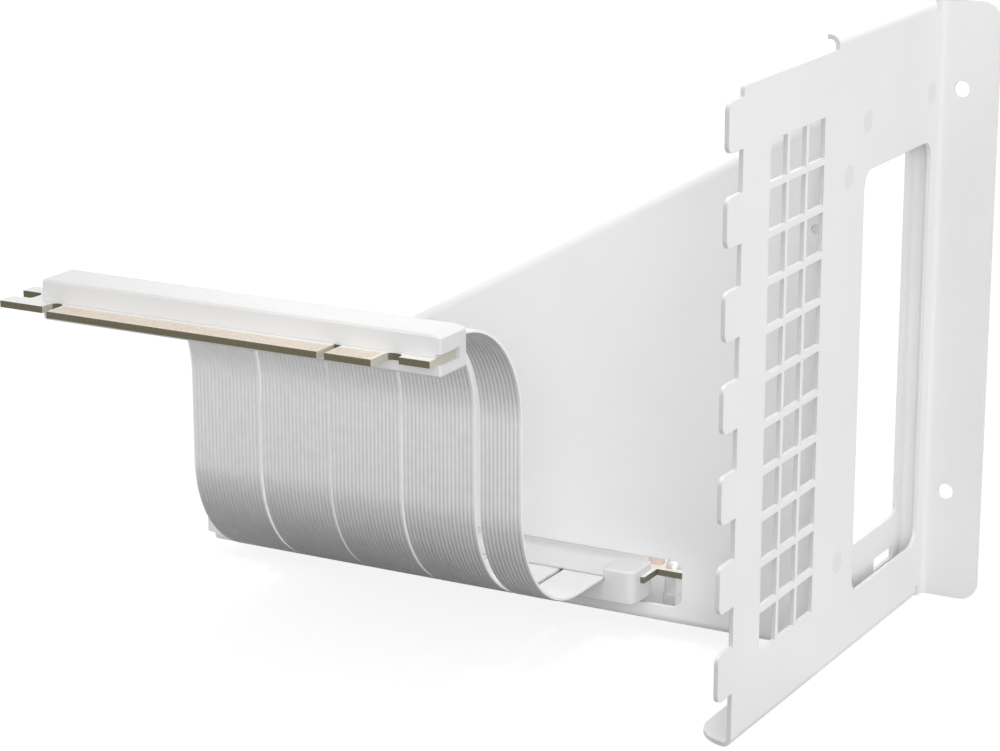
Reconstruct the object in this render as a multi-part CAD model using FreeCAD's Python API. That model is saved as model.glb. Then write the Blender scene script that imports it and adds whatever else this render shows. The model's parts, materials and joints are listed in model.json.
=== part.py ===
# Vertical graphics card mount: folded steel carrier, ribbon riser, plug and socket
import FreeCAD, Part
import math
import os

os.makedirs("parts", exist_ok=True)

# Sizes are millimetres: X runs out of the case, Y from the tab edge to the screw flange, Z up
# X is counted from the plate's outer face, Y from its tab edge and Z from its bottom edge

# Folded sheet
SHEET = 1.0
BEND_IN = 1.2
RELIEF = 1.0

# Outer plate with its lip and flap
PLATE_HEIGHT = 148.2
PLATE_CORNER = 1.0
LIP_TOP = 151.4
LIP_START = 51.0
LIP_DEPTH = 3.0
FLAP_DEPTH = 10.4
FOLD_GAP = 1.6

# Screw flange on the plate
FLANGE_GAP = 5.1
FLANGE_DEPTH = 14.5
FLANGE_LOW = 0.5
FLANGE_TOP = 151.0
FLANGE_CORNER = 4.5
CASE_HOLE_D = 4.0
CASE_HOLE_IN = 5.35
CASE_HOLE_LOW = 28.0
CASE_HOLE_PITCH = 101.6

# Case tabs
SLOT_PITCH = 20.32
TAB_COUNT = 7
TAB_REACH = 7.5
TAB_HEIGHT = 11.0
TAB_CORNER = 2.0
TAB_DROP = 2.37

# Vent grid
VENT_COLUMNS = 3
VENT_ROWS = 11
VENT_WIDTH = 8.9
VENT_HEIGHT = 9.1
VENT_BAR_Y = 1.5
VENT_BAR_Z = 1.6
VENT_START_Y = 14.2
VENT_DROP = 14.1

# Card window in the plate
WINDOW_GAP = 14.1
WINDOW_WIDTH = 42.0
WINDOW_LOW = 14.8
WINDOW_HEIGHT = 102.6
WINDOW_CORNER = 4.0

# Side panel
PANEL_FACE = 54.0
PANEL_LENGTH = 175.9
PANEL_LOW = 4.3
SLOPE_HIGH = 135.6
SLOPE_LOW = 36.6
SLOPE_FLANGE = 8.0
SLOPE_FLANGE_INSET = 3.4
SLOPE_FLANGE_START = 3.8
END_FLANGE = 9.0
END_FLANGE_DROP = 3.6
PLATE_FLANGE = 10.5
PLATE_FLANGE_LOW = 10.0
PLATE_FLANGE_DROP = 6.6
DIMPLE_D = 2.1
DIMPLE_DEPTH = 0.6
DIMPLE_IN = 5.9
DIMPLE_Z = 106.1

# Shelf at the foot of the panel
SHELF_WIDTH = 38.0
SHELF_START = 7.0

# Socket board, its posts, its screws and its capacitor
BOARD = 1.57
BOARD_END_GAP = 14.3
BOARD_LENGTH = 123.6
BOARD_INSET = 2.4
BOARD_WIDTH = 27.1
BOARD_TONGUE = 7.1
BOARD_TONGUE_INSET = 8.2
POST_HEIGHT = 9.73
POST_FLATS = 4.7
POST_BASE_FLATS = 5.5
POST_BASE = 4.8
POST_INSET_X = 5.3
POST_INSET_Y = 4.0
SCREW_D = 2.4
SCREW_CLEAR = 0.15
SCREW_REACH = 4.4
SCREW_HEAD_D = 4.4
SCREW_HEAD = 1.6
CHIP_LENGTH = 3.6
CHIP_WIDTH = 1.8
CHIP_HEIGHT = 1.7
CHIP_IN_X = 8.4
CHIP_IN_Y = 3.1

# Riser window in the panel, round the board's end view
RISER_MARGIN = 0.1
RISER_RISE = 4.5
RISER_HEIGHT = 11.9
RISER_CORNER = 2.8

# Slot frame behind the card window
FRAME_DEPTH = 4.8
FRAME_NEAR_OUT = 2.1
FRAME_FAR_OUT = 2.9
FRAME_WALL_LOW = 9.0
FRAME_FLANGE_RISE = 7.6
FRAME_FLANGE = 9.0
FRAME_FLANGE_OUT = 0.5
FOOT_DEPTH = 11.2
FOOT_INSET = 3.0
FOOT_WIDTH = 20.0
OPENING_NEAR_IN = 3.6
OPENING_FAR_IN = 1.9
OPENING_LOW_IN = 7.8
OPENING_TOP_IN = 1.4
OPENING_CORNER = 1.5
TONGUE_SLOT_IN = 9.6
TONGUE_SLOT = 12.5
TONGUE_SLOT_HEIGHT = 3.2
TONGUE_SLOT_Z = 13.2

# Contacts, shared by the socket and the plug
CONTACT_PITCH = 1.0
CONTACTS_SHORT = 11
CONTACTS_LONG = 71
KEY_TO_CONTACT = 1.45

# Card edge socket
SOCKET_KEY_IN = 28.75
SOCKET_IN = 13.6
SOCKET_WIDTH = 7.5
SOCKET_HEIGHT = 11.3
SOCKET_WALL = 1.5
SOCKET_RUNOUT = 1.5
SOCKET_MOUTH = 1.9
SOCKET_LEAD = 0.7
SOCKET_CAVITY = 3.5
SOCKET_LIP = 2.5
SOCKET_KEY = 1.7
BLADE_WIDTH = 0.6
BLADE = 0.45
BLADE_SHORT = 0.5
BLADE_WALL_GAP = 0.1

# Overmold of the socket end, set on the board's tongue
FOOT_MOLD_END = 1.0
FOOT_MOLD_OUT = 3.8
FOOT_MOLD_DEPTH = 11.3
FOOT_MOLD_UNDER = 6.6
FOOT_MOLD_OVER = 2.1
FOOT_MOLD_CORNER = 2.2
FOOT_RAMP = 7.0
FOOT_RAMP_COVER = 0.6
MOLD_EDGE = 0.5

# Plug board: fingers, key notch, end notches and hook
PLUG_TOP = 89.84
PLUG_KEY_OUT = 64.6
PLUG_KEY = 1.9
FINGER_FRONT = -40.2
FINGER_BEVEL = 0.2
FINGER_MARGIN = 1.15
NOTCH_REAR = -32.9
NOTCH_CORNER = 1.7
WIDE_NOTCH = 4.1
END_TAB = 7.6
END_TAB_FRONT = -35.4
HOOK_NOTCH = 3.6
HOOK_REACH = 11.9
HOOK_FRONT = -36.9
HOOK_REAR = -32.2
CATCH_DEPTH = 5.0
CATCH_REAR = -26.8
ARM_REACH = 13.0
ARM_REAR = -22.5
PAD_WIDTH = 0.7
PAD_LENGTH = 5.6
PAD_SETBACK = 0.25
PAD = 0.05

# Overmold of the plug end
PLUG_MOLD_FRONT = -32.7
PLUG_MOLD_DEPTH = 11.4
PLUG_MOLD_UNDER = 4.35
PLUG_MOLD_OVER = 5.1
PLUG_MOLD_FAR_OUT = 6.7
PLUG_MOLD_NEAR_OUT = 1.2
PLUG_MOLD_RECESS = 8.2
PLUG_MOLD_RECESS_RISE = 0.8
PLUG_MOLD_SLOPE = 2.5
PLUG_MOLD_SLOPE_DROP = 0.8
PLUG_BOARD_COVER = 1.7

# Ribbon strips
RIBBON = 0.8
STRIP_WIDTHS = (19.04, 19.04, 19.04, 19.04, 10.8)
STRIP_GAPS = (0.0, 0.5, 0.2, 0.4, 1.3)
RIBBON_INSET = 8.8
RIBBON_PLUG_RISE = 3.0
RIBBON_SOCKET_DROP = 0.5
RIBBON_DROP_Y = 5.1
RIBBON_RADIUS = 28.0
RIBBON_INSERT = 1.9
RIBBON_CLEAR = 0.1

# Places that follow from the sizes above
BEND_OUT = BEND_IN + SHEET
WINDOW_NEAR = PANEL_FACE + WINDOW_GAP
FLANGE_FACE = WINDOW_NEAR + WINDOW_WIDTH + FLANGE_GAP
SHELF_TOP = PANEL_LOW + SHEET
BOARD_LOW = SHELF_TOP + POST_HEIGHT
BOARD_TOP = BOARD_LOW + BOARD
BOARD_FAR_END = BOARD_END_GAP - PANEL_LENGTH
BOARD_X = (BOARD_FAR_END, BOARD_FAR_END + BOARD_LENGTH)
BOARD_FRONT = PANEL_FACE + SHEET + BOARD_INSET
BOARD_REAR = BOARD_FRONT + BOARD_WIDTH
TONGUE_X = (BOARD_X[0] + BOARD_TONGUE_INSET, BOARD_X[1] - BOARD_TONGUE_INSET)
TONGUE_FRONT = BOARD_FRONT - BOARD_TONGUE
POST_X = (BOARD_X[0] + POST_INSET_X, BOARD_X[1] - POST_INSET_X)
POST_Y = (BOARD_FRONT + POST_INSET_Y, BOARD_REAR - POST_INSET_Y)
POSTS = [(x, y) for x in POST_X for y in POST_Y]
SCREW_BORE = SCREW_D + 2 * SCREW_CLEAR
SOCKET_KEY_X = BOARD_X[1] - SOCKET_KEY_IN
SOCKET_Y = BOARD_FRONT + SOCKET_IN
RIBBON_START_X = TONGUE_X[0] + RIBBON_INSET
PLUG_KEY_X = RIBBON_START_X + PLUG_KEY_OUT
FOOT_MOLD_FRONT = TONGUE_FRONT - FOOT_MOLD_OUT
PLUG_MOLD_REAR = PLUG_MOLD_FRONT + PLUG_MOLD_DEPTH
SHORT_RUN = KEY_TO_CONTACT + (CONTACTS_SHORT - 1) * CONTACT_PITCH
LONG_RUN = KEY_TO_CONTACT + (CONTACTS_LONG - 1) * CONTACT_PITCH
FINGER_FAR = PLUG_KEY_X - LONG_RUN - FINGER_MARGIN
FINGER_NEAR = PLUG_KEY_X + SHORT_RUN + FINGER_MARGIN
PLUG_END = FINGER_NEAR + WIDE_NOTCH + END_TAB
HOOK_SIDE = FINGER_FAR - HOOK_NOTCH
RIBBON_PLUG_Z = PLUG_TOP + RIBBON_PLUG_RISE
RIBBON_SOCKET_Z = BOARD_TOP - RIBBON_SOCKET_DROP
OVERCUT = 1.0

# Origin at the middle of the flange's screw holes, on the face that meets the case
ORIGIN = FreeCAD.Vector(CASE_HOLE_IN, FLANGE_FACE, CASE_HOLE_LOW + CASE_HOLE_PITCH / 2)


def at(plane, u, v, w):
    """Point u, v on a plane that stands at w along its normal."""
    if plane == "XY":
        return FreeCAD.Vector(u, v, w)
    if plane == "XZ":
        return FreeCAD.Vector(u, w, v)
    return FreeCAD.Vector(w, u, v)


def unit(start, end):
    length = math.hypot(end[0] - start[0], end[1] - start[1])
    return (end[0] - start[0]) / length, (end[1] - start[1]) / length


def rounded(points, radii, closed):
    """Stops along a polyline: a lone point at a sharp corner, start, middle and end at a round one."""
    stops = []
    last = len(points) - 1
    for i, (u, v) in enumerate(points):
        if radii[i] == 0 or (not closed and i in (0, last)):
            stops.append([(u, v)])
            continue
        back = unit((u, v), points[i - 1])
        ahead = unit((u, v), points[(i + 1) % len(points)])
        half = math.acos(back[0] * ahead[0] + back[1] * ahead[1]) / 2
        tangent = radii[i] / math.tan(half)
        inward = unit((0, 0), (back[0] + ahead[0], back[1] + ahead[1]))
        reach = radii[i] / math.sin(half) - radii[i]
        stops.append([
            (u + back[0] * tangent, v + back[1] * tangent),
            (u + inward[0] * reach, v + inward[1] * reach),
            (u + ahead[0] * tangent, v + ahead[1] * tangent),
        ])
    return stops


def extruded(plane, stops, w0, w1):
    """Solid between w0 and w1 on the closed outline that the stops describe."""
    edges = []
    for i, stop in enumerate(stops):
        if len(stop) == 3:
            edges.append(Part.Arc(*[at(plane, u, v, w0) for u, v in stop]).toShape())
        start = at(plane, *stop[-1], w0)
        end = at(plane, *stops[(i + 1) % len(stops)][0], w0)
        if start.distanceToPoint(end) > 1e-6:
            edges.append(Part.LineSegment(start, end).toShape())
    face = Part.Face(Part.Wire(edges))
    return face.extrude(at(plane, 0, 0, w1 - w0))


def leaf(plane, points, radii, w0, w1):
    """Flat piece with rounded corners; one radius may stand for all."""
    if not isinstance(radii, (list, tuple)):
        radii = [radii] * len(points)
    return extruded(plane, rounded(points, radii, True), w0, w1)


def rectangle(u0, u1, v0, v1):
    return [(u0, v0), (u1, v0), (u1, v1), (u0, v1)]


def folded(plane, path, side, w0, w1):
    """Bent strip: the path is one face and the sheet lies to its left (1) or its right (-1)."""
    last = len(path) - 1
    ways = [unit(a, b) for a, b in zip(path, path[1:])]
    normals = [(-side * way[1], side * way[0]) for way in ways]
    other = []
    path_radii = []
    other_radii = []
    for i, (u, v) in enumerate(path):
        n0 = normals[max(i - 1, 0)]
        n1 = normals[min(i, last - 1)]
        share = SHEET / (1 + n0[0] * n1[0] + n0[1] * n1[1])
        other.append((u + (n0[0] + n1[0]) * share, v + (n0[1] + n1[1]) * share))
        turn = n0[0] * n1[1] - n0[1] * n1[0]
        path_radii.append(BEND_OUT if turn * side > 0 else BEND_IN)
        other_radii.append(BEND_IN if turn * side > 0 else BEND_OUT)
    near = rounded(path, path_radii, False)
    far = [stop[::-1] for stop in rounded(other, other_radii, False)[::-1]]
    return extruded(plane, near + far, w0, w1)


def box(x0, x1, y0, y1, z0, z1):
    return Part.makeBox(x1 - x0, y1 - y0, z1 - z0, FreeCAD.Vector(x0, y0, z0))


def rod(plane, u, v, w0, w1, diameter):
    """Round bar along the plane's normal."""
    return Part.makeCylinder(diameter / 2, w1 - w0, at(plane, u, v, w0), at(plane, 0, 0, 1))


def hole(plane, u, v, w, diameter):
    """Cutter for a round hole through the sheet that starts at w."""
    return rod(plane, u, v, w - OVERCUT, w + SHEET + OVERCUT, diameter)


def joined(pieces):
    return pieces[0].fuse(pieces[1:]).removeSplitter()


def hexagon(x, y, z0, z1, flats):
    """Upright six sided bar with two of its flats along X."""
    reach = flats / math.sqrt(3)
    turns = [i * math.pi / 3 for i in range(6)]
    return leaf("XY", [(x + reach * math.cos(a), y + reach * math.sin(a)) for a in turns], 0, z0, z1)


def contact_places(key_x):
    """Centres of the contacts on both sides of a key; the short run lies toward the plate."""
    short = [key_x + KEY_TO_CONTACT + i * CONTACT_PITCH for i in range(CONTACTS_SHORT)]
    return short + [key_x - KEY_TO_CONTACT - i * CONTACT_PITCH for i in range(CONTACTS_LONG)]


def io_plate():
    fold_start = FLANGE_FACE - BEND_IN
    edge_end = fold_start - FOLD_GAP
    notch = edge_end - RELIEF
    lip_bend = LIP_TOP - BEND_OUT
    outline = []
    radii = []
    for i in range(TAB_COUNT):
        top = PLATE_HEIGHT - TAB_DROP - i * SLOT_PITCH
        low = top - TAB_HEIGHT
        outline += [(0, top), (-TAB_REACH, top), (-TAB_REACH, low), (0, low)]
        radii += [0, TAB_CORNER, TAB_CORNER, 0]
    outline += [(0, BEND_OUT), (notch, BEND_OUT), (notch, BEND_OUT + RELIEF)]
    outline += [(edge_end, BEND_OUT + RELIEF), (edge_end, FLANGE_LOW), (fold_start, FLANGE_LOW)]
    outline += [(fold_start, FLANGE_TOP), (edge_end, FLANGE_TOP), (edge_end, lip_bend - RELIEF)]
    outline += [(notch, lip_bend - RELIEF), (notch, lip_bend), (LIP_START, lip_bend)]
    outline += [(LIP_START, PLATE_HEIGHT), (0, PLATE_HEIGHT)]
    radii += [0] * (len(outline) - len(radii) - 1) + [PLATE_CORNER]
    face = leaf("YZ", outline, radii, -SHEET, 0)
    fold_path = [(0, fold_start), (0, FLANGE_FACE), (BEND_IN, FLANGE_FACE)]
    fold = folded("XY", fold_path, 1, FLANGE_LOW, FLANGE_TOP)
    flange_outline = rectangle(BEND_IN, FLANGE_DEPTH, FLANGE_LOW, FLANGE_TOP)
    flange_radii = [0, FLANGE_CORNER, FLANGE_CORNER, 0]
    flange = leaf("XZ", flange_outline, flange_radii, FLANGE_FACE, FLANGE_FACE + SHEET)
    lip = folded("XZ", [(0, lip_bend), (0, LIP_TOP), (-LIP_DEPTH, LIP_TOP)], 1, LIP_START, notch)
    flap = folded("XZ", [(0, BEND_OUT), (0, 0), (-FLAP_DEPTH, 0)], -1, 0, notch)
    corner = box(-FLAP_DEPTH, 0, 0, FLAP_DEPTH, 0, BEND_OUT)
    corner = corner.cut(rod("XY", 0, FLAP_DEPTH, 0, BEND_OUT, 2 * FLAP_DEPTH))
    plate = joined([face, fold, flange, lip, flap.cut(corner)])
    window = rectangle(WINDOW_NEAR, WINDOW_NEAR + WINDOW_WIDTH, WINDOW_LOW, WINDOW_LOW + WINDOW_HEIGHT)
    cuts = [leaf("YZ", window, WINDOW_CORNER, -SHEET - OVERCUT, OVERCUT)]
    for i in range(VENT_COLUMNS):
        y = VENT_START_Y + i * (VENT_WIDTH + VENT_BAR_Y)
        for j in range(VENT_ROWS):
            z = PLATE_HEIGHT - VENT_DROP - VENT_HEIGHT - j * (VENT_HEIGHT + VENT_BAR_Z)
            cuts.append(box(-SHEET - OVERCUT, OVERCUT, y, y + VENT_WIDTH, z, z + VENT_HEIGHT))
    for z in (CASE_HOLE_LOW, CASE_HOLE_LOW + CASE_HOLE_PITCH):
        cuts.append(hole("XZ", CASE_HOLE_IN, z, FLANGE_FACE, CASE_HOLE_D))
    return plate.cut(cuts)


def side_panel():
    slope = (SLOPE_HIGH - SLOPE_LOW) / PANEL_LENGTH
    angle = math.atan(slope)
    far = -PANEL_LENGTH
    left = far + BEND_OUT
    right = -SHEET - BEND_OUT
    low = PANEL_LOW + BEND_OUT
    top_left = SLOPE_LOW + slope * BEND_OUT - BEND_OUT / math.cos(angle)
    top_right = top_left + slope * (right - left)
    wall_outline = [(left, low), (right, low), (right, top_right), (left, top_left)]
    wall = leaf("XZ", wall_outline, 0, PANEL_FACE, PANEL_FACE + SHEET)
    shelf_edge = PANEL_FACE + SHELF_WIDTH
    shelf_path = [(PANEL_FACE, low), (PANEL_FACE, PANEL_LOW), (shelf_edge, PANEL_LOW)]
    shelf = folded("YZ", shelf_path, 1, left + RELIEF, -SHELF_START)
    end_path = [(left, PANEL_FACE), (far, PANEL_FACE), (far, PANEL_FACE + END_FLANGE)]
    end = folded("XY", end_path, -1, low, SLOPE_LOW - END_FLANGE_DROP)
    plate_path = [(right, PANEL_FACE), (-SHEET, PANEL_FACE), (-SHEET, PANEL_FACE + PLATE_FLANGE)]
    plate_side = folded("XY", plate_path, 1, PLATE_FLANGE_LOW, SLOPE_HIGH - PLATE_FLANGE_DROP)
    top_path = [(PANEL_FACE, -BEND_OUT), (PANEL_FACE, 0), (PANEL_FACE + SLOPE_FLANGE, 0)]
    run = math.cos(angle)
    top = folded("YZ", top_path, -1, (far + SLOPE_FLANGE_INSET) / run, -SLOPE_FLANGE_START / run)
    top.rotate(FreeCAD.Vector(0, 0, 0), FreeCAD.Vector(0, 1, 0), -math.degrees(angle))
    top.translate(FreeCAD.Vector(0, 0, SLOPE_HIGH))
    panel = joined([wall, shelf, end, plate_side, top])
    riser_low = PANEL_LOW + RISER_RISE
    riser_x = (BOARD_X[0] - RISER_MARGIN, BOARD_X[1] + RISER_MARGIN)
    riser = rectangle(*riser_x, riser_low, riser_low + RISER_HEIGHT)
    window = leaf("XZ", riser, RISER_CORNER, PANEL_FACE - OVERCUT, PANEL_FACE + SHEET + OVERCUT)
    dimple_y = (PANEL_FACE - OVERCUT, PANEL_FACE + DIMPLE_DEPTH)
    return panel.cut([window, rod("XZ", -DIMPLE_IN, DIMPLE_Z, *dimple_y, DIMPLE_D)])


def slot_frame():
    front = -FRAME_DEPTH
    back = front - SHEET
    window_far = WINDOW_NEAR + WINDOW_WIDTH
    window_top = WINDOW_LOW + WINDOW_HEIGHT
    near_wall = WINDOW_NEAR - FRAME_NEAR_OUT
    far_wall = window_far + FRAME_FAR_OUT
    near = near_wall + BEND_OUT
    far = far_wall - BEND_OUT
    flange_low = window_top + FRAME_FLANGE_RISE
    joggle_low = window_top + BEND_IN
    joggle_high = joggle_low + FRAME_DEPTH - SHEET
    foot_bend = SHELF_TOP + BEND_OUT
    sheet = box(back, front, near, far, foot_bend, window_top)
    flange_y = (near_wall - FRAME_FLANGE_OUT, far_wall + FRAME_FLANGE_OUT)
    flange = box(-2 * SHEET, -SHEET, *flange_y, flange_low, flange_low + FRAME_FLANGE)
    joggle_path = [(-SHEET, flange_low), (-SHEET, joggle_high), (front, joggle_low), (front, window_top)]
    joggle = folded("XZ", joggle_path, -1, near, far)
    foot_path = [(front, foot_bend), (front, SHELF_TOP), (front - FOOT_DEPTH, SHELF_TOP)]
    foot_near = near_wall + FOOT_INSET
    foot = folded("XZ", foot_path, -1, foot_near, foot_near + FOOT_WIDTH)
    near_path = [(back, near), (back, near_wall), (-SHEET, near_wall)]
    near_side = folded("XY", near_path, 1, FRAME_WALL_LOW, window_top)
    far_path = [(back, far), (back, far_wall), (-SHEET, far_wall)]
    far_side = folded("XY", far_path, -1, FRAME_WALL_LOW, window_top)
    frame = joined([sheet, flange, joggle, foot, near_side, far_side])
    opening_y = (WINDOW_NEAR + OPENING_NEAR_IN, window_far - OPENING_FAR_IN)
    opening = rectangle(*opening_y, WINDOW_LOW + OPENING_LOW_IN, window_top - OPENING_TOP_IN)
    cuts = [leaf("YZ", opening, OPENING_CORNER, back - OVERCUT, front + OVERCUT)]
    y = window_far - TONGUE_SLOT_IN - TONGUE_SLOT / 2
    z = TONGUE_SLOT_Z - TONGUE_SLOT_HEIGHT / 2
    cuts.append(box(back - OVERCUT, front + OVERCUT, y, y + TONGUE_SLOT, z, z + TONGUE_SLOT_HEIGHT))
    return frame.cut(cuts)


def board_standoffs():
    posts = []
    for x, y in POSTS:
        base = hexagon(x, y, SHELF_TOP, SHELF_TOP + POST_BASE, POST_BASE_FLATS)
        post = hexagon(x, y, SHELF_TOP + POST_BASE, BOARD_LOW, POST_FLATS)
        bore = rod("XY", x, y, BOARD_LOW - SCREW_REACH - OVERCUT, BOARD_LOW, SCREW_BORE)
        posts.append(joined([base, post]).cut(bore))
    return Part.makeCompound(posts)


def board_screws():
    screws = []
    for x, y in POSTS:
        head = rod("XY", x, y, BOARD_TOP, BOARD_TOP + SCREW_HEAD, SCREW_HEAD_D)
        shank = rod("XY", x, y, BOARD_LOW - SCREW_REACH, BOARD_TOP, SCREW_D)
        screws.append(joined([head, shank]))
    return Part.makeCompound(screws)


def socket_board():
    main = box(*BOARD_X, BOARD_FRONT, BOARD_REAR, BOARD_LOW, BOARD_TOP)
    tongue = box(*TONGUE_X, TONGUE_FRONT, BOARD_FRONT, BOARD_LOW, BOARD_TOP)
    bores = [rod("XY", x, y, BOARD_LOW, BOARD_TOP, SCREW_BORE) for x, y in POSTS]
    return joined([main, tongue]).cut(bores)


def filter_capacitor():
    far = BOARD_X[1] - CHIP_IN_X - CHIP_LENGTH
    front = BOARD_FRONT + CHIP_IN_Y
    return box(far, far + CHIP_LENGTH, front, front + CHIP_WIDTH, BOARD_TOP, BOARD_TOP + CHIP_HEIGHT)


def socket_housing():
    half = SOCKET_WIDTH / 2
    mouth = SOCKET_MOUTH / 2
    cavity = SOCKET_CAVITY / 2
    top = BOARD_TOP + SOCKET_HEIGHT
    far = SOCKET_KEY_X - LONG_RUN - SOCKET_RUNOUT
    near = SOCKET_KEY_X + SHORT_RUN + SOCKET_RUNOUT
    body = box(far - SOCKET_WALL, near + SOCKET_WALL, SOCKET_Y - half, SOCKET_Y + half, BOARD_TOP, top)
    right = [(cavity, BOARD_TOP), (cavity, top - SOCKET_LIP), (mouth, top - SOCKET_LIP)]
    right += [(mouth, top - SOCKET_LEAD), (mouth + SOCKET_LEAD, top)]
    section = [(SOCKET_Y + y, z) for y, z in right] + [(SOCKET_Y - y, z) for y, z in right[::-1]]
    key = (SOCKET_KEY_X - SOCKET_KEY / 2, SOCKET_KEY_X + SOCKET_KEY / 2)
    return body.cut([leaf("YZ", section, 0, far, key[0]), leaf("YZ", section, 0, key[1], near)])


def socket_contacts(side):
    """One row of contacts; side is -1 for the panel side and 1 for the other."""
    wall = SOCKET_Y + side * (SOCKET_CAVITY / 2 - BLADE_WALL_GAP)
    y0, y1 = sorted((wall, wall - side * BLADE))
    top = BOARD_TOP + SOCKET_HEIGHT - SOCKET_LIP - BLADE_SHORT
    half = BLADE_WIDTH / 2
    row = [box(x - half, x + half, y0, y1, BOARD_TOP, top) for x in contact_places(SOCKET_KEY_X)]
    return Part.makeCompound(row)


def strip_spans():
    """First and last X of each strip, from the far end toward the plate."""
    spans = []
    x = RIBBON_START_X
    for gap, width in zip(STRIP_GAPS, STRIP_WIDTHS):
        x += gap
        spans.append((x, x + width))
        x += width
    return spans


def ribbon_slot(y0, y1, z):
    """Opening that takes the ends of all strips."""
    spans = strip_spans()
    half = RIBBON / 2 + RIBBON_CLEAR
    return box(spans[0][0] - RIBBON_CLEAR, spans[-1][1] + RIBBON_CLEAR, y0, y1, z - half, z + half)


def socket_overmold():
    x_span = (TONGUE_X[0] + FOOT_MOLD_END, TONGUE_X[1] - FOOT_MOLD_END)
    y_span = (FOOT_MOLD_FRONT, FOOT_MOLD_FRONT + FOOT_MOLD_DEPTH)
    z_span = (BOARD_TOP - FOOT_MOLD_UNDER, BOARD_TOP + FOOT_MOLD_OVER)
    block = leaf("XY", rectangle(*x_span, *y_span), FOOT_MOLD_CORNER, *z_span)
    rims = [edge for face in block.Faces if abs(face.normalAt(0, 0).z) > 0.9 for edge in face.Edges]
    block = block.makeChamfer(MOLD_EDGE, rims)
    entry = ribbon_slot(FOOT_MOLD_FRONT - OVERCUT, FOOT_MOLD_FRONT + RIBBON_INSERT, RIBBON_SOCKET_Z)
    spans = strip_spans()
    ramp_low = RIBBON_SOCKET_Z + RIBBON / 2 + FOOT_RAMP_COVER
    ramp = [(FOOT_MOLD_FRONT - OVERCUT, ramp_low), (FOOT_MOLD_FRONT, ramp_low)]
    ramp += [(FOOT_MOLD_FRONT + FOOT_RAMP, z_span[1]), (FOOT_MOLD_FRONT - OVERCUT, z_span[1])]
    return block.cut([socket_board(), entry, leaf("YZ", ramp, 0, spans[0][0], spans[-1][1])])


def plug_overmold():
    x_span = (FINGER_FAR - PLUG_MOLD_FAR_OUT, PLUG_END + PLUG_MOLD_NEAR_OUT)
    z_span = (PLUG_TOP - PLUG_MOLD_UNDER, PLUG_TOP + PLUG_MOLD_OVER)
    block = box(*x_span, PLUG_MOLD_FRONT, PLUG_MOLD_REAR, *z_span)
    block = block.makeChamfer(MOLD_EDGE, block.Edges)
    entry = ribbon_slot(PLUG_MOLD_REAR - RIBBON_INSERT, PLUG_MOLD_REAR + OVERCUT, RIBBON_PLUG_Z)
    recess_y = (PLUG_MOLD_FRONT - OVERCUT, PLUG_MOLD_FRONT + PLUG_MOLD_RECESS)
    recess_z = (PLUG_TOP - BOARD, PLUG_TOP + PLUG_MOLD_RECESS_RISE)
    recess = box(PLUG_END, x_span[1] + OVERCUT, *recess_y, *recess_z)
    slope = [(x_span[1] - PLUG_MOLD_SLOPE, z_span[1]), (x_span[1], z_span[1])]
    slope.append((x_span[1], z_span[1] - PLUG_MOLD_SLOPE_DROP))
    wedge = leaf("XZ", slope, 0, PLUG_MOLD_FRONT, PLUG_MOLD_REAR)
    return block.cut([plug_board(), entry, recess, wedge])


def plug_board():
    key_far = PLUG_KEY_X - PLUG_KEY / 2
    key_near = PLUG_KEY_X + PLUG_KEY / 2
    wide_end = FINGER_NEAR + WIDE_NOTCH
    hook_tip = HOOK_SIDE - HOOK_REACH
    catch_end = hook_tip + CATCH_DEPTH
    arm_tip = HOOK_SIDE - ARM_REACH
    rear = PLUG_MOLD_REAR - PLUG_BOARD_COVER
    corners = [
        (PLUG_END, rear, 0), (PLUG_END, END_TAB_FRONT, 0),
        (wide_end, END_TAB_FRONT, 0), (wide_end, NOTCH_REAR, NOTCH_CORNER),
        (FINGER_NEAR, NOTCH_REAR, NOTCH_CORNER), (FINGER_NEAR, FINGER_FRONT, 0),
        (key_near, FINGER_FRONT, 0), (key_near, NOTCH_REAR, 0),
        (key_far, NOTCH_REAR, 0), (key_far, FINGER_FRONT, 0),
        (FINGER_FAR, FINGER_FRONT, 0), (FINGER_FAR, NOTCH_REAR, NOTCH_CORNER),
        (HOOK_SIDE, NOTCH_REAR, NOTCH_CORNER), (HOOK_SIDE, HOOK_FRONT, 0),
        (hook_tip, HOOK_FRONT, 0), (hook_tip, HOOK_REAR, 0),
        (catch_end, HOOK_REAR, NOTCH_CORNER), (catch_end, CATCH_REAR, NOTCH_CORNER),
        (arm_tip, CATCH_REAR, 0), (arm_tip, ARM_REAR, 0),
        (HOOK_SIDE, ARM_REAR, 0), (HOOK_SIDE, rear, 0),
    ]
    low = PLUG_TOP - BOARD
    board = leaf("XY", [(x, y) for x, y, r in corners], [r for x, y, r in corners], low, PLUG_TOP)
    bevels = []
    for face, inner in ((low, low + FINGER_BEVEL), (PLUG_TOP, PLUG_TOP - FINGER_BEVEL)):
        wedge = [(FINGER_FRONT, face), (FINGER_FRONT + FINGER_BEVEL, face), (FINGER_FRONT, inner)]
        bevels.append(leaf("YZ", wedge, 0, FINGER_FAR - OVERCUT, FINGER_NEAR + OVERCUT))
    return board.cut(bevels)


def plug_contacts(z):
    """One face of gold pads on the fingers, standing on height z."""
    front = FINGER_FRONT + PAD_SETBACK
    half = PAD_WIDTH / 2
    rear = front + PAD_LENGTH
    pads = [box(x - half, x + half, front, rear, z, z + PAD) for x in contact_places(PLUG_KEY_X)]
    return Part.makeCompound(pads)


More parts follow.
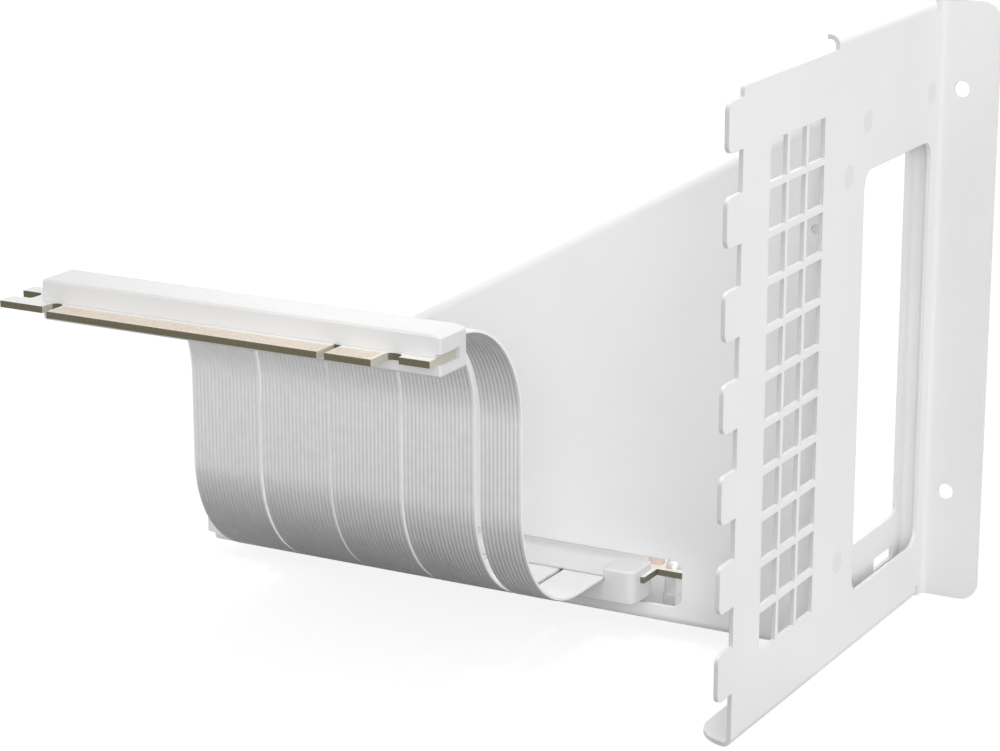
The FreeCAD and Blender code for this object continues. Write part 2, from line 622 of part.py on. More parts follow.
def ribbon_strip(x0, x1):
    """One strip: level out of the plug, a round bend down, a drop, a round bend to the socket."""
    upper = FreeCAD.Vector(0, RIBBON_DROP_Y - RIBBON_RADIUS, RIBBON_PLUG_Z - RIBBON_RADIUS)
    lower = FreeCAD.Vector(0, RIBBON_DROP_Y + RIBBON_RADIUS, RIBBON_SOCKET_Z + RIBBON_RADIUS)
    start = PLUG_MOLD_REAR - RIBBON_INSERT
    finish = FOOT_MOLD_FRONT + RIBBON_INSERT
    half = RIBBON / 2
    z0 = RIBBON_PLUG_Z - half
    z1 = RIBBON_PLUG_Z + half
    corners = [FreeCAD.Vector(x, start, z) for x, z in rectangle(x0, x1, z0, z1)]
    section = Part.Face(Part.makePolygon(corners + corners[:1]))
    across = FreeCAD.Vector(1, 0, 0)
    lead = FreeCAD.Vector(0, upper.y - start, 0)
    drop = FreeCAD.Vector(0, 0, lower.z - upper.z)
    pieces = [section.extrude(lead)]
    section.translate(lead)
    pieces.append(section.revolve(upper, across, -90))
    section.rotate(upper, across, -90)
    pieces.append(section.extrude(drop))
    section.translate(drop)
    pieces.append(section.revolve(lower, across, 90))
    section.rotate(lower, across, 90)
    pieces.append(section.extrude(FreeCAD.Vector(0, finish - lower.y, 0)))
    return joined(pieces)


SHAPES = {
    "io_plate": io_plate(),
    "side_panel": side_panel(),
    "slot_frame": slot_frame(),
    "board_standoffs": board_standoffs(),
    "board_screws": board_screws(),
    "socket_board": socket_board(),
    "filter_capacitor": filter_capacitor(),
    "socket_housing": socket_housing(),
    "socket_contacts_near": socket_contacts(-1),
    "socket_contacts_far": socket_contacts(1),
    "socket_overmold": socket_overmold(),
    "plug_overmold": plug_overmold(),
    "plug_board": plug_board(),
    "plug_contacts_upper": plug_contacts(PLUG_TOP),
    "plug_contacts_lower": plug_contacts(PLUG_TOP - BOARD - PAD),
}
for number, span in enumerate(strip_spans(), 1):
    SHAPES["ribbon_strip_%d" % number] = ribbon_strip(*span)

for name, shape in SHAPES.items():
    shape.translate(-ORIGIN)
    shape.exportStep("parts/%s.step" % name)
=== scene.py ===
# White studio picture of a vertical graphics card mount
import json
import math
import bmesh
import bpy
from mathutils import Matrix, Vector

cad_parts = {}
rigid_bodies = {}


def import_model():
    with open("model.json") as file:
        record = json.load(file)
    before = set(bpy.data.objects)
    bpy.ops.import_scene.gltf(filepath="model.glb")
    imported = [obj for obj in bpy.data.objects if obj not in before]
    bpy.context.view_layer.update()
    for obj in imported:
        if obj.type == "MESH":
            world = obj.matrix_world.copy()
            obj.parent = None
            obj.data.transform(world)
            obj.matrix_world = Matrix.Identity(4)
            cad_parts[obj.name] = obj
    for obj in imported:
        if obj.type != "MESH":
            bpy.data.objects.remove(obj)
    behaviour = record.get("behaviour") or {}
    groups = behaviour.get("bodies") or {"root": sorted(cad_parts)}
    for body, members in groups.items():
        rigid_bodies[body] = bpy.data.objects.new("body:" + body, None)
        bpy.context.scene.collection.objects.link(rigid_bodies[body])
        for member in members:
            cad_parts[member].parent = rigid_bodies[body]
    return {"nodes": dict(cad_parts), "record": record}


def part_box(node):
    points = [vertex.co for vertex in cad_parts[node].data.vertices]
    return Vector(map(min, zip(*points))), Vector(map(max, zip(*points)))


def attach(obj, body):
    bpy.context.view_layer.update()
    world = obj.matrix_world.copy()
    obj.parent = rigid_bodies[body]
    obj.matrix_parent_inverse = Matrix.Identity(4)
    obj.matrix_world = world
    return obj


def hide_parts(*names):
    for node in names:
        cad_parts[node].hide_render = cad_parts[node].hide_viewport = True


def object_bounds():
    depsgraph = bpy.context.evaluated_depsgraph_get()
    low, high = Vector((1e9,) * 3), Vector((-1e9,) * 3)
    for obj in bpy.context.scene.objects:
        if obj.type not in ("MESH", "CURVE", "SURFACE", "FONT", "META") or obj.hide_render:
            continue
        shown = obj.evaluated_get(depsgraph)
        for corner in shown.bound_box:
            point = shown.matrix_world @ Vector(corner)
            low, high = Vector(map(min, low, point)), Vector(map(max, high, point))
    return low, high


# Camera in metres and degrees, from the photograph's vanishing directions
CAMERA_PLACE = (0.25248, -0.69055, 0.18294)
CAMERA_AZIMUTH = 28.773
CAMERA_ELEVATION = 15.656
SENSOR = 36.0
LENS = 110.08

# Floor: its width, its glow and tone where the background shows, and its tone to all other rays
FLOOR_SIZE = 6.0
FLOOR_GLOW = 0.86
FLOOR_SEEN = 0.2
FLOOR_SPREAD = 0.01
FLOOR_TONE = 0.45

# Grey card on the floor that only reflections show: its tone and its reach past the ribbon
CARD_TONE = 0.5
CARD_SIDE = 0.08
CARD_FRONT = 0.12
CARD_LIFT = 0.0002

# Light of the white surroundings
SKY_LEVEL = 0.72
WHITE = (1.0, 1.0, 1.0, 1.0)

# Broad lamps that look at the middle of the part: place, width and power
LAMPS = {
    "right": ((1.7, -0.45, 0.45), 2.0, 12.5),
    "front": ((0.7, -1.45, 0.45), 0.8, 5.7),
    "left": ((-0.95, -1.5, 0.5), 2.0, 2.6),
    "behind": ((-0.3, 1.2, 0.2), 1.5, 6.0),
}

# Narrow lamps into the hollows: place, target, angle in degrees, radius and power
SPOTS = {
    "pocket": ((0.14, -0.45, 1.06), (-0.0776, -0.0687, -0.0601), 6.5, 0.1, 48.0),
    "shelf": ((-0.06, 0.19, 0.92), (-0.06, -0.055, -0.062), 11.0, 0.05, 8.5),
    "window": ((0.3096, -0.8098, 0.2302), (-0.0581, -0.0425, -0.0735), 1.0, 0.01, 16.0),
}

# Noise: its detail and the part of its range that is used
NOISE_DETAIL = 3.0
NOISE_LOW = 0.3
NOISE_HIGH = 0.7

# Noise sizes, as repeats per metre
COAT_GRAIN = 2600.0
MOLD_GRAIN = 1800.0
METAL_TONE_GRAIN = 900.0
METAL_ROUGH_GRAIN = 1500.0
FIBRE_GRAIN = 3000.0
MASK_GRAIN = 800.0
JACKET_TONE_GRAIN = 400.0
JACKET_ROUGH_GRAIN = 700.0
CLOUD = 35.0
FLOOR_CLOUD = 3.0

# Relief of the grain, in metres, and how much coarser and how strong the change of gloss is
GRAIN_HEIGHT = 0.0001
ROUGH_COARSER = 4
ROUGH_SPREAD = 0.05
METAL_ROUGH_SPREAD = 0.06

# Rounding that the light sees on sharp edges, in metres
SHEET_ROUND = 0.00022
MOLD_ROUND = 0.0004
CHIP_ROUND = 0.0001
UNROUNDED = 0.0
ROUND_SAMPLES = 4

# Spot welds on the plate: centres across and up the plate, their size in metres and their tone
WELDS = ((-0.0566, 0.0392), (-0.0566, -0.0533), (-0.0461, 0.0502), (-0.0058, 0.0502))
WELD_RADIUS = 0.0026
WELD_EDGE = 0.0003
WELD_TONE = (0.79, 0.79, 0.795)

# Painted shade on the plate's cut edges that face away from the panel: its outer face, the panel's face,
# the width of the change and the darker tone
PLATE_X = -0.00535
PANEL_Y = -0.0612
CUT_SOFT = 0.00005
# painted shade: the tone that darkens the cut edges facing away from the panel
SHADED_EDGE_TONE = (0.6, 0.6, 0.603)

# How far a face has to turn toward a direction to count as a shaded cut edge, an end with painted light or
# a level face
SHADED_EDGE_FACING = (0.6, 0.95)
END_FACING = (0.7, 0.9)
LEVEL_FACING = (0.85, 0.95)

# Painted and moulded finishes: dark and light tone, roughness, grain, strength of relief and rounding
COATS = {
    "white_steel": ((0.84, 0.84, 0.842), (0.865, 0.865, 0.867), 0.5, COAT_GRAIN, 0.1, SHEET_ROUND),
    "chip_ceramic": ((0.8, 0.62, 0.52), (0.88, 0.7, 0.6), 0.45, MOLD_GRAIN, 0.1, CHIP_ROUND),
    "white_plastic": ((0.725, 0.725, 0.725), (0.755, 0.755, 0.755), 0.4, MOLD_GRAIN, 0.08, MOLD_ROUND),
    "ribbon_white": ((0.84, 0.84, 0.84), (0.88, 0.88, 0.88), 0.45, MOLD_GRAIN, 0.05, UNROUNDED),
    "ribbon_edge": ((0.95, 0.95, 0.95), (0.98, 0.98, 0.98), 0.45, MOLD_GRAIN, 0.05, UNROUNDED),
}

# Plated finishes: dark and light tone and roughness
METALS = {
    "plated_steel": ((0.88, 0.88, 0.875), (0.92, 0.92, 0.915), 0.36),
    "gold": ((0.86, 0.72, 0.58), (0.93, 0.83, 0.72), 0.32),
}

# Boards: tones of the mask, its gloss, and dark and light tones of the laminate on front edges and on
# ends; the end tones are painted light on the edges that face along the board
MASK_TONES = ((0.84, 0.84, 0.82), (0.88, 0.88, 0.86))
MASK_ROUGH = (0.38, 0.5)
SOCKET_EDGES = (((0.13, 0.125, 0.085), (0.19, 0.18, 0.13)), ((0.12, 0.11, 0.09), (0.18, 0.17, 0.14)))
# painted light: the plug's end tones are much lighter than its front tones, as if light fell on its ends
PLUG_EDGES = (((0.08, 0.076, 0.04), (0.14, 0.126, 0.072)), ((0.5, 0.47, 0.39), (0.6, 0.57, 0.49)))

# Ribbon: satin silver of its ridged side
SILVER_TONES = ((0.63, 0.63, 0.635), (0.67, 0.67, 0.675))
SILVER_ROUGH = (0.3, 0.38)
SILVER_METALLIC = 0.85

# Ribbon: bend, place of the drop, conductors and ridges, in metres
BEND_RADIUS = 0.028
DROP_Y = -0.1101
CONDUCTORS = {
    "ribbon_strip_1": 18,
    "ribbon_strip_2": 18,
    "ribbon_strip_3": 18,
    "ribbon_strip_4": 18,
    "ribbon_strip_5": 10,
}
JACKET = 0.0008
RIDGE_DEPTH = 0.00024
RIDGE_POINTS = 8
STRIP_MARGIN = 0.00015
BEND_STEPS = 28

# Screws and the gold rings round them, in metres
HEAD_RADIUS = 0.0022
HEAD_SIDE = 0.0005
SHANK_RADIUS = 0.0012
RECESS_ARM = 0.00095
RECESS_HALF = 0.00024
RECESS_DEPTH = 0.00055
RECESS_RISE = 0.6
RING_RADIUS = 0.0027
RING_HEIGHT = 0.00012

# Round meshes: points round, rings, share of the first ring, merging distance and creases in degrees
SCREW_TURNS = 48
SCREW_RINGS = 16
FIRST_RING = 0.004
MERGE = 1e-7
SCREW_CREASE = 50.0
RING_CREASE = 30.0


def start(name):
    """Material with its tree, its shader and object coordinates."""
    material = bpy.data.materials.new(name)
    material.use_nodes = True
    tree = material.node_tree
    shader = tree.nodes["Principled BSDF"]
    coords = tree.nodes.new("ShaderNodeTexCoord").outputs["Object"]
    return material, tree, shader, coords


def ranged(tree, value, from_min, from_max, to_min=0.0, to_max=1.0):
    """Value carried from one span to another, held at the ends."""
    span = tree.nodes.new("ShaderNodeMapRange")
    span.inputs["From Min"].default_value = from_min
    span.inputs["From Max"].default_value = from_max
    span.inputs["To Min"].default_value = to_min
    span.inputs["To Max"].default_value = to_max
    tree.links.new(value, span.inputs["Value"])
    return span.outputs["Result"]


def combined(tree, operation, first, second):
    """One arithmetic step on two outputs."""
    step = tree.nodes.new("ShaderNodeMath")
    step.operation = operation
    tree.links.new(first, step.inputs[0])
    tree.links.new(second, step.inputs[1])
    return step.outputs["Value"]


def noise(tree, coords, scale, low=0.0, high=1.0):
    """Soft noise between two values."""
    texture = tree.nodes.new("ShaderNodeTexNoise")
    texture.inputs["Scale"].default_value = scale
    texture.inputs["Detail"].default_value = NOISE_DETAIL
    tree.links.new(coords, texture.inputs["Vector"])
    return ranged(tree, texture.outputs["Fac"], NOISE_LOW, NOISE_HIGH, low, high)


def mixed(tree, factor, first, second):
    """Colour between two; each is a triple or the output of a node."""
    mix = tree.nodes.new("ShaderNodeMix")
    mix.data_type = "RGBA"
    tree.links.new(factor, mix.inputs["Factor"])
    for name, value in (("A", first), ("B", second)):
        socket = next(s for s in mix.inputs if s.name == name and s.type == "RGBA")
        if isinstance(value, tuple):
            socket.default_value = (*value, 1.0)
        else:
            tree.links.new(value, socket)
    return next(s for s in mix.outputs if s.type == "RGBA")


def chosen(tree, factor, first, second):
    """Shader between two."""
    mix = tree.nodes.new("ShaderNodeMixShader")
    tree.links.new(factor, mix.inputs["Fac"])
    tree.links.new(first, mix.inputs[1])
    tree.links.new(second, mix.inputs[2])
    return mix.outputs["Shader"]


def along(tree, coords, axis):
    """One coordinate of a place."""
    split = tree.nodes.new("ShaderNodeSeparateXYZ")
    tree.links.new(coords, split.inputs["Vector"])
    return split.outputs[axis]


def grain(tree, shader, coords, scale, strength, edge):
    """Fine relief over softly rounded edges."""
    bump = tree.nodes.new("ShaderNodeBump")
    bump.inputs["Strength"].default_value = strength
    bump.inputs["Distance"].default_value = GRAIN_HEIGHT
    tree.links.new(noise(tree, coords, scale), bump.inputs["Height"])
    if edge:
        bevel = tree.nodes.new("ShaderNodeBevel")
        bevel.samples = ROUND_SAMPLES
        bevel.inputs["Radius"].default_value = edge
        tree.links.new(bevel.outputs["Normal"], bump.inputs["Normal"])
    tree.links.new(bump.outputs["Normal"], shader.inputs["Normal"])


def facing(tree, direction, low, high):
    """0 to 1 as the surface turns toward a direction in the row frame."""
    geometry = tree.nodes.new("ShaderNodeNewGeometry")
    dot = tree.nodes.new("ShaderNodeVectorMath")
    dot.operation = "DOT_PRODUCT"
    dot.inputs[1].default_value = direction
    tree.links.new(geometry.outputs["True Normal"], dot.inputs[0])
    return ranged(tree, dot.outputs["Value"], low, high)


def both_ways(tree, direction, low, high):
    """As facing, with the opposite direction counted too."""
    back = tuple(-c for c in direction)
    return combined(tree, "MAXIMUM", facing(tree, direction, low, high), facing(tree, back, low, high))


def weld_marks(tree, coords):
    """1 on the round spots of the plate and 0 elsewhere."""
    flat = tree.nodes.new("ShaderNodeVectorMath")
    flat.operation = "MULTIPLY"
    flat.inputs[1].default_value = (0.0, 1.0, 1.0)
    tree.links.new(coords, flat.inputs[0])
    marks = None
    for y, z in WELDS:
        away = tree.nodes.new("ShaderNodeVectorMath")
        away.operation = "DISTANCE"
        away.inputs[1].default_value = (0.0, y, z)
        tree.links.new(flat.outputs["Vector"], away.inputs[0])
        mark = ranged(tree, away.outputs["Value"], WELD_RADIUS, WELD_RADIUS + WELD_EDGE, 1.0, 0.0)
        marks = mark if marks is None else combined(tree, "MAXIMUM", marks, mark)
    return marks


def shaded_cut_edges(tree, coords):
    """1 on the edges of tabs and vents that look away from the panel, where shade is painted, and 0
    elsewhere.
    """
    behind = ranged(tree, along(tree, coords, "X"), PLATE_X - CUT_SOFT, PLATE_X, 1.0, 0.0)
    before_panel = ranged(tree, along(tree, coords, "Y"), PANEL_Y - CUT_SOFT, PANEL_Y, 1.0, 0.0)
    sheet = combined(tree, "MULTIPLY", behind, before_panel)
    return combined(tree, "MULTIPLY", sheet, facing(tree, (0.0, -1.0, 0.0), *SHADED_EDGE_FACING))


def welds_and_shaded_edges(tree, coords, colour):
    """The plate's weld spots, and painted shade that darkens its cut edges facing away from the panel."""
    welded = mixed(tree, weld_marks(tree, coords), colour, WELD_TONE)
    # painted shade: cut edges that face away from the panel are darkened as if less light fell on them
    return mixed(tree, shaded_cut_edges(tree, coords), welded, SHADED_EDGE_TONE)


def coated(name, dark, light, rough, grain_scale, relief, edge, details=None):
    """Painted or moulded surface with cloudy tone and fine relief; details may add to its colour."""
    material, tree, shader, coords = start(name)
    colour = mixed(tree, noise(tree, coords, CLOUD), dark, light)
    if details:
        colour = details(tree, coords, colour)
    tree.links.new(colour, shader.inputs["Base Color"])
    gloss = noise(tree, coords, grain_scale / ROUGH_COARSER, rough - ROUGH_SPREAD, rough + ROUGH_SPREAD)
    tree.links.new(gloss, shader.inputs["Roughness"])
    grain(tree, shader, coords, grain_scale, relief, edge)
    return material


def metal(name, dark, light, rough):
    """Plated metal with faint brushing."""
    material, tree, shader, coords = start(name)
    shader.inputs["Metallic"].default_value = 1.0
    tone = noise(tree, coords, METAL_TONE_GRAIN)
    tree.links.new(mixed(tree, tone, dark, light), shader.inputs["Base Color"])
    gloss = noise(tree, coords, METAL_ROUGH_GRAIN, rough - METAL_ROUGH_SPREAD, rough + METAL_ROUGH_SPREAD)
    tree.links.new(gloss, shader.inputs["Roughness"])
    return material


def board(name, front, side):
    """White mask on the faces and bare laminate on the cut edges, with a pair of tones for each way; the
    ends that face along the board take the end tones as painted light.
    """
    material, tree, shader, coords = start(name)
    fibre = noise(tree, coords, FIBRE_GRAIN)
    laminate = mixed(tree, fibre, *front)
    lit_end_laminate = mixed(tree, fibre, *side)
    # painted light: edges facing along the board get the end tones, lighter on the plug as if light fell
    # on them
    edge = mixed(tree, both_ways(tree, (1.0, 0.0, 0.0), *END_FACING), laminate, lit_end_laminate)
    mask = mixed(tree, noise(tree, coords, CLOUD), *MASK_TONES)
    level = both_ways(tree, (0.0, 0.0, 1.0), *LEVEL_FACING)
    tree.links.new(mixed(tree, level, edge, mask), shader.inputs["Base Color"])
    tree.links.new(noise(tree, coords, MASK_GRAIN, *MASK_ROUGH), shader.inputs["Roughness"])
    return material


def silver(name):
    """Satin silver jacket over the conductors."""
    material, tree, shader, coords = start(name)
    shader.inputs["Metallic"].default_value = SILVER_METALLIC
    tone = noise(tree, coords, JACKET_TONE_GRAIN)
    tree.links.new(mixed(tree, tone, *SILVER_TONES), shader.inputs["Base Color"])
    tree.links.new(noise(tree, coords, JACKET_ROUGH_GRAIN, *SILVER_ROUGH), shader.inputs["Roughness"])
    return material


def shown(tree):
    """1 for the rays that show the background: those of the camera, of gloss and of glass."""
    path = tree.nodes.new("ShaderNodeLightPath")
    direct = combined(tree, "MAXIMUM", path.outputs["Is Camera Ray"], path.outputs["Is Glossy Ray"])
    return combined(tree, "MAXIMUM", direct, path.outputs["Is Transmission Ray"])


def floor_material():
    """White with a soft shadow where the background shows, and a plain pale floor to all other rays."""
    material, tree, shader, coords = start("studio_floor")
    tree.nodes.remove(shader)
    light = FLOOR_SEEN + FLOOR_SPREAD
    pale = mixed(tree, noise(tree, coords, FLOOR_CLOUD), (FLOOR_SEEN,) * 3, (light,) * 3)
    seen = tree.nodes.new("ShaderNodeBsdfDiffuse")
    tree.links.new(pale, seen.inputs["Color"])
    glow = tree.nodes.new("ShaderNodeEmission")
    glow.inputs["Strength"].default_value = FLOOR_GLOW
    lit = tree.nodes.new("ShaderNodeAddShader")
    tree.links.new(seen.outputs["BSDF"], lit.inputs[0])
    tree.links.new(glow.outputs["Emission"], lit.inputs[1])
    plain = tree.nodes.new("ShaderNodeBsdfDiffuse")
    plain.inputs["Color"].default_value = (FLOOR_TONE, FLOOR_TONE, FLOOR_TONE, 1.0)
    surface = chosen(tree, shown(tree), plain.outputs["BSDF"], lit.outputs["Shader"])
    tree.links.new(surface, tree.nodes["Material Output"].inputs["Surface"])
    return material


def card_material(front, back):
    """Dull grey that fades out from the back to the front."""
    material, tree, shader, coords = start("grey_card")
    shader.inputs["Base Color"].default_value = (CARD_TONE, CARD_TONE, CARD_TONE, 1.0)
    shader.inputs["Roughness"].default_value = 1.0
    clear = tree.nodes.new("ShaderNodeBsdfTransparent")
    fade = ranged(tree, along(tree, coords, "Y"), front, back)
    surface = chosen(tree, fade, clear.outputs["BSDF"], shader.outputs["BSDF"])
    tree.links.new(surface, tree.nodes["Material Output"].inputs["Surface"])
    return material


def reflection_card(floor_z):
    """Card on the floor under the ribbon that darkens the reflection in its lower bend."""
    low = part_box("ribbon_strip_1")[0]
    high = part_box("ribbon_strip_5")[1]
    mesh = bpy.data.meshes.new("reflection_card")
    xs = (low.x - CARD_SIDE, high.x + CARD_SIDE)
    ys = (low.y - CARD_FRONT, high.y)
    corners = [(xs[0], ys[0]), (xs[1], ys[0]), (xs[1], ys[1]), (xs[0], ys[1])]
    mesh.from_pydata([(x, y, floor_z + CARD_LIFT) for x, y in corners], [], [(0, 1, 2, 3)])
    mesh.materials.append(card_material(ys[0], DROP_Y))
    card = bpy.data.objects.new("reflection_card", mesh)
    card.visible_camera = False
    card.visible_diffuse = False
    card.visible_shadow = False
    card.visible_transmission = False
    bpy.context.scene.collection.objects.link(card)


def hang(name, lamp, place, target):
    """Lamp at a place, turned to look at a point."""
    holder = bpy.data.objects.new(name, lamp)
    holder.location = place
    holder.rotation_euler = (Vector(target) - holder.location).to_track_quat("-Z", "Y").to_euler()
    bpy.context.scene.collection.objects.link(holder)


def soft_lamp(name, place, size, power, target):
    """Broad square lamp that looks at a point."""
    lamp = bpy.data.lights.new(name, "AREA")
    lamp.size = size
    lamp.energy = power
    hang(name, lamp, place, target)


def soft_spot(name, place, target, angle, size, power):
    """Narrow lamp with a soft rim that looks at a point."""
    lamp = bpy.data.lights.new(name, "SPOT")
    lamp.spot_size = math.radians(angle)
    lamp.spot_blend = 1.0
    lamp.shadow_soft_size = size
    lamp.energy = power
    hang(name, lamp, place, target)


def surroundings():
    """Even light from all round that shows as plain white."""
    world = bpy.data.worlds.new("studio")
    bpy.context.scene.world = world
    world.use_nodes = True
    tree = world.node_tree
    sky = tree.nodes["Background"]
    sky.inputs["Color"].default_value = WHITE
    sky.inputs["Strength"].default_value = SKY_LEVEL
    white = tree.nodes.new("ShaderNodeBackground")
    white.inputs["Color"].default_value = WHITE
    surface = chosen(tree, shown(tree), sky.outputs["Background"], white.outputs["Background"])
    tree.links.new(surface, tree.nodes["World Output"].inputs["Surface"])


def studio(low, high):
    """Floor under the object, the reflection card, white surroundings and all the lamps."""
    middle = (low + high) / 2
    bpy.ops.mesh.primitive_plane_add(size=FLOOR_SIZE, location=(middle.x, middle.y, low.z))
    floor = bpy.context.object
    floor.name = "studio_floor"
    floor.data.materials.append(floor_material())
    reflection_card(low.z)
    surroundings()
    for name, (place, size, power) in LAMPS.items():
        soft_lamp(name, place, size, power, middle)
    for name, values in SPOTS.items():
        soft_spot(name, *values)


def camera():
    """The photograph's viewpoint."""
    data = bpy.data.cameras.new("camera")
    data.sensor_width = SENSOR
    data.lens = LENS
    eye = bpy.data.objects.new("camera", data)
    eye.location = CAMERA_PLACE
    eye.rotation_euler = (math.radians(90.0 - CAMERA_ELEVATION), 0.0, math.radians(CAMERA_AZIMUTH))
    bpy.context.scene.collection.objects.link(eye)
    bpy.context.scene.camera = eye


def piece(name, mesh, materials, nodes=()):
    """New object on the part, with its materials and the nodes that it stands for."""
    made = bpy.data.meshes.new(name)
    mesh.normal_update()
    mesh.to_mesh(made)
    mesh.free()
    for material in materials:
        made.materials.append(material)
    thing = bpy.data.objects.new(name, made)
    bpy.context.scene.collection.objects.link(thing)
    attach(thing, "root")
    if nodes:
        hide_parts(*nodes)
    return thing


def ribbon_route(low, high):
    """Middle line of a strip as points with the direction of its smooth side, in the YZ plane."""
    top = high.z - JACKET / 2
    bottom = low.z + JACKET / 2
    turns = [math.pi / 2 * i / BEND_STEPS for i in range(BEND_STEPS + 1)]
    upper = (DROP_Y - BEND_RADIUS, top - BEND_RADIUS)
    lower = (DROP_Y + BEND_RADIUS, bottom + BEND_RADIUS)
    route = [((low.y, top), (0.0, 1.0))]
    for turn in turns:
        out = (math.sin(turn), math.cos(turn))
        route.append(((upper[0] + BEND_RADIUS * out[0], upper[1] + BEND_RADIUS * out[1]), out))
    for turn in turns:
        out = (math.cos(turn), math.sin(turn))
        route.append(((lower[0] - BEND_RADIUS * out[0], lower[1] - BEND_RADIUS * out[1]), out))
    route.append(((high.y, bottom), (0.0, 1.0)))
    return route


def strip_section(low, high, conductors):
    """Closed section of a strip: ridges on one side and a smooth back, as places across and heights."""
    first = low.x + STRIP_MARGIN
    pitch = (high.x - low.x - 2 * STRIP_MARGIN) / conductors
    valley = RIDGE_DEPTH - JACKET / 2
    section = [(low.x, valley)]
    for i in range(conductors):
        for j in range(RIDGE_POINTS):
            share = j / RIDGE_POINTS
            height = valley - RIDGE_DEPTH * math.sin(math.pi * share)
            section.append((first + (i + share) * pitch, height))
    section.append((high.x - STRIP_MARGIN, valley))
    section.append((high.x, valley))
    return section + [(high.x, JACKET / 2), (low.x, JACKET / 2)]


def ribbon_strip(node, conductors, materials):
    """Strip along the route, with materials for its ridges, its smooth back and its plain edges."""
    low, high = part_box(node)
    section = strip_section(low, high, conductors)
    mesh = bmesh.new()
    rings = []
    for (y, z), out in ribbon_route(low, high):
        rings.append([mesh.verts.new((x, y + out[0] * h, z + out[1] * h)) for x, h in section])
    count = len(section)
    ridged = range(1, conductors * RIDGE_POINTS + 1)
    back = count - 2
    kinds = [0 if i in ridged else 1 if i == back else 2 for i in range(count)]
    for ring, following in zip(rings, rings[1:]):
        for i, kind in enumerate(kinds):
            j = (i + 1) % count
            face = mesh.faces.new((ring[i], ring[j], following[j], following[i]))
            face.material_index = kind
            face.smooth = kind < 2
    mesh.faces.new(rings[0][::-1]).material_index = 1
    mesh.faces.new(rings[-1]).material_index = 1
    bmesh.ops.recalc_face_normals(mesh, faces=mesh.faces)
    for edge in mesh.edges:
        edge.smooth = len({face.smooth for face in edge.link_faces}) == 1
    piece("ridged_" + node, mesh, materials, [node])


def screw_places():
    """Centres of the four screws, from the node that they replace."""
    low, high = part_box("board_screws")
    xs = (low.x + HEAD_RADIUS, high.x - HEAD_RADIUS)
    ys = (low.y + HEAD_RADIUS, high.y - HEAD_RADIUS)
    return [(x, y) for x in xs for y in ys]


def lathe(mesh, x, y, rings, depth=None):
    """Skin over rings of radius and height round an upright axis; depth lowers points inside a shape."""
    loops = []
    for radius, z in rings:
        loop = []
        for i in range(SCREW_TURNS):
            turn = 2 * math.pi * i / SCREW_TURNS
            dx = radius * math.cos(turn)
            dy = radius * math.sin(turn)
            drop = depth(dx, dy) if depth else 0.0
            loop.append(mesh.verts.new((x + dx, y + dy, z - drop)))
        loops.append(loop)
    for loop, following in zip(loops, loops[1:]):
        for i in range(SCREW_TURNS):
            j = (i + 1) % SCREW_TURNS
            mesh.faces.new((loop[i], loop[j], following[j], following[i])).smooth = True
    return loops


def joined(mesh):
    """Merge the points that meet and turn all faces outward."""
    bmesh.ops.remove_doubles(mesh, verts=mesh.verts, dist=MERGE)
    bmesh.ops.recalc_face_normals(mesh, faces=mesh.faces)


def cross_recess(dx, dy):
    """Depth of the driver recess at a place on the head."""
    far = max(abs(dx), abs(dy))
    across = min(abs(dx), abs(dy))
    if far > RECESS_ARM or across > RECESS_HALF:
        return 0.0
    return RECESS_DEPTH * (1.0 - RECESS_RISE * far / RECESS_ARM)


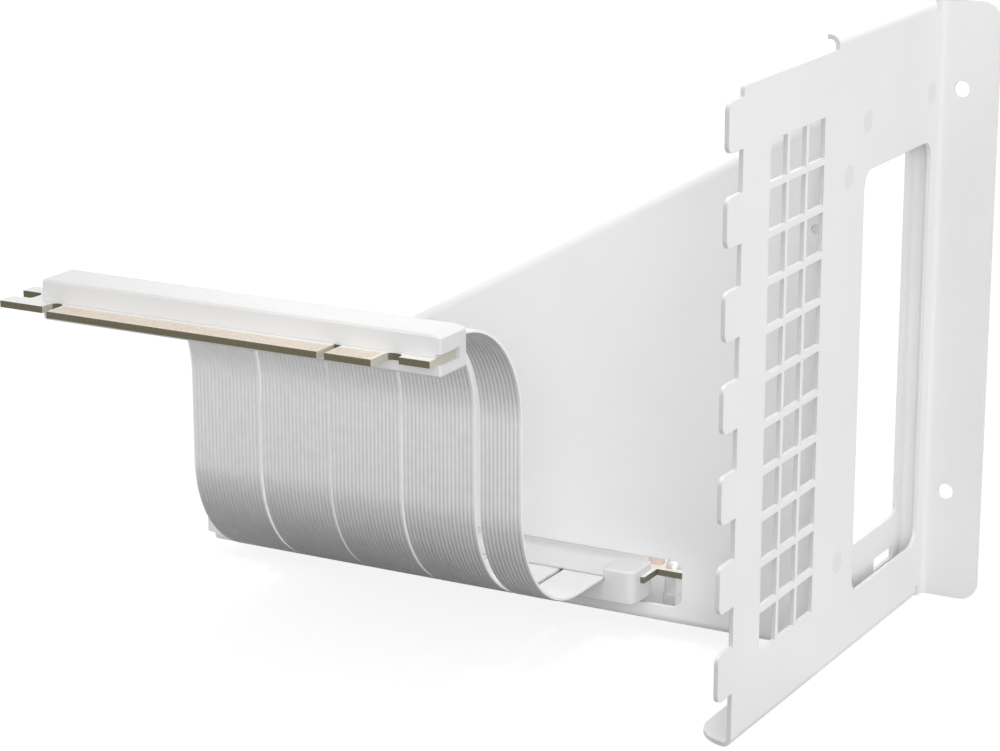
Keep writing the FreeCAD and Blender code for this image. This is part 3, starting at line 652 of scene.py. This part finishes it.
def board_screws(material):
    """Domed screws with a cross recess, each with its plain shank."""
    low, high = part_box("board_screws")
    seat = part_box("socket_board")[1].z
    brim = seat + HEAD_SIDE
    dome = high.z - seat - HEAD_SIDE
    head = []
    for i in range(SCREW_RINGS + 1):
        share = max(i / SCREW_RINGS, FIRST_RING)
        head.append((HEAD_RADIUS * share, brim + dome * math.sqrt(max(1.0 - share * share, 0.0))))
    under = [(HEAD_RADIUS, brim), (HEAD_RADIUS, seat), (SHANK_RADIUS, seat), (SHANK_RADIUS, low.z)]
    mesh = bmesh.new()
    for x, y in screw_places():
        mesh.faces.new(lathe(mesh, x, y, head, cross_recess)[0])
        mesh.faces.new(lathe(mesh, x, y, under)[-1])
    joined(mesh)
    screws = piece("domed_screws", mesh, [material], ["board_screws"])
    screws.data.set_sharp_from_angle(angle=math.radians(SCREW_CREASE))


def ground_rings(material):
    """Gold plated rings on the board round the screw heads."""
    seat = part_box("socket_board")[1].z
    top = seat + RING_HEIGHT
    edge = RING_HEIGHT / 2
    rings = [(HEAD_RADIUS, seat), (HEAD_RADIUS, top), (RING_RADIUS - edge, top)]
    rings += [(RING_RADIUS, seat + edge), (RING_RADIUS, seat), (HEAD_RADIUS, seat)]
    mesh = bmesh.new()
    for x, y in screw_places():
        lathe(mesh, x, y, rings)
    joined(mesh)
    made = piece("ground_rings", mesh, [material])
    made.data.set_sharp_from_angle(angle=math.radians(RING_CREASE))


for item in list(bpy.data.objects):
    bpy.data.objects.remove(item)
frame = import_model()
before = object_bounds()

finishes = {
    "white_steel": coated("white_steel", *COATS["white_steel"]),
    "plated_steel": metal("plated_steel", *METALS["plated_steel"]),
    "gold": metal("gold", *METALS["gold"]),
    "white_board": board("socket_laminate", *SOCKET_EDGES),
    "chip_ceramic": coated("chip_ceramic", *COATS["chip_ceramic"]),
    "white_plastic": coated("white_plastic", *COATS["white_plastic"]),
    "ribbon_grey": silver("ribbon_silver"),
}
for part in frame["record"]["subparts"]:
    node = frame["nodes"][part["node"]]
    node.data.materials.clear()
    node.data.materials.append(finishes[part["material_slot"]])
marked = coated("plate_steel", *COATS["white_steel"], welds_and_shaded_edges)
frame["nodes"]["io_plate"].data.materials[0] = marked
frame["nodes"]["plug_board"].data.materials[0] = board("plug_laminate", *PLUG_EDGES)

backing = coated("ribbon_white", *COATS["ribbon_white"])
edging = coated("ribbon_edge", *COATS["ribbon_edge"])
for node, conductors in CONDUCTORS.items():
    ribbon_strip(node, conductors, [finishes["ribbon_grey"], backing, edging])
board_screws(finishes["plated_steel"])
ground_rings(finishes["gold"])

studio(*before)
camera()
bpy.context.scene.view_settings.view_transform = "Standard"
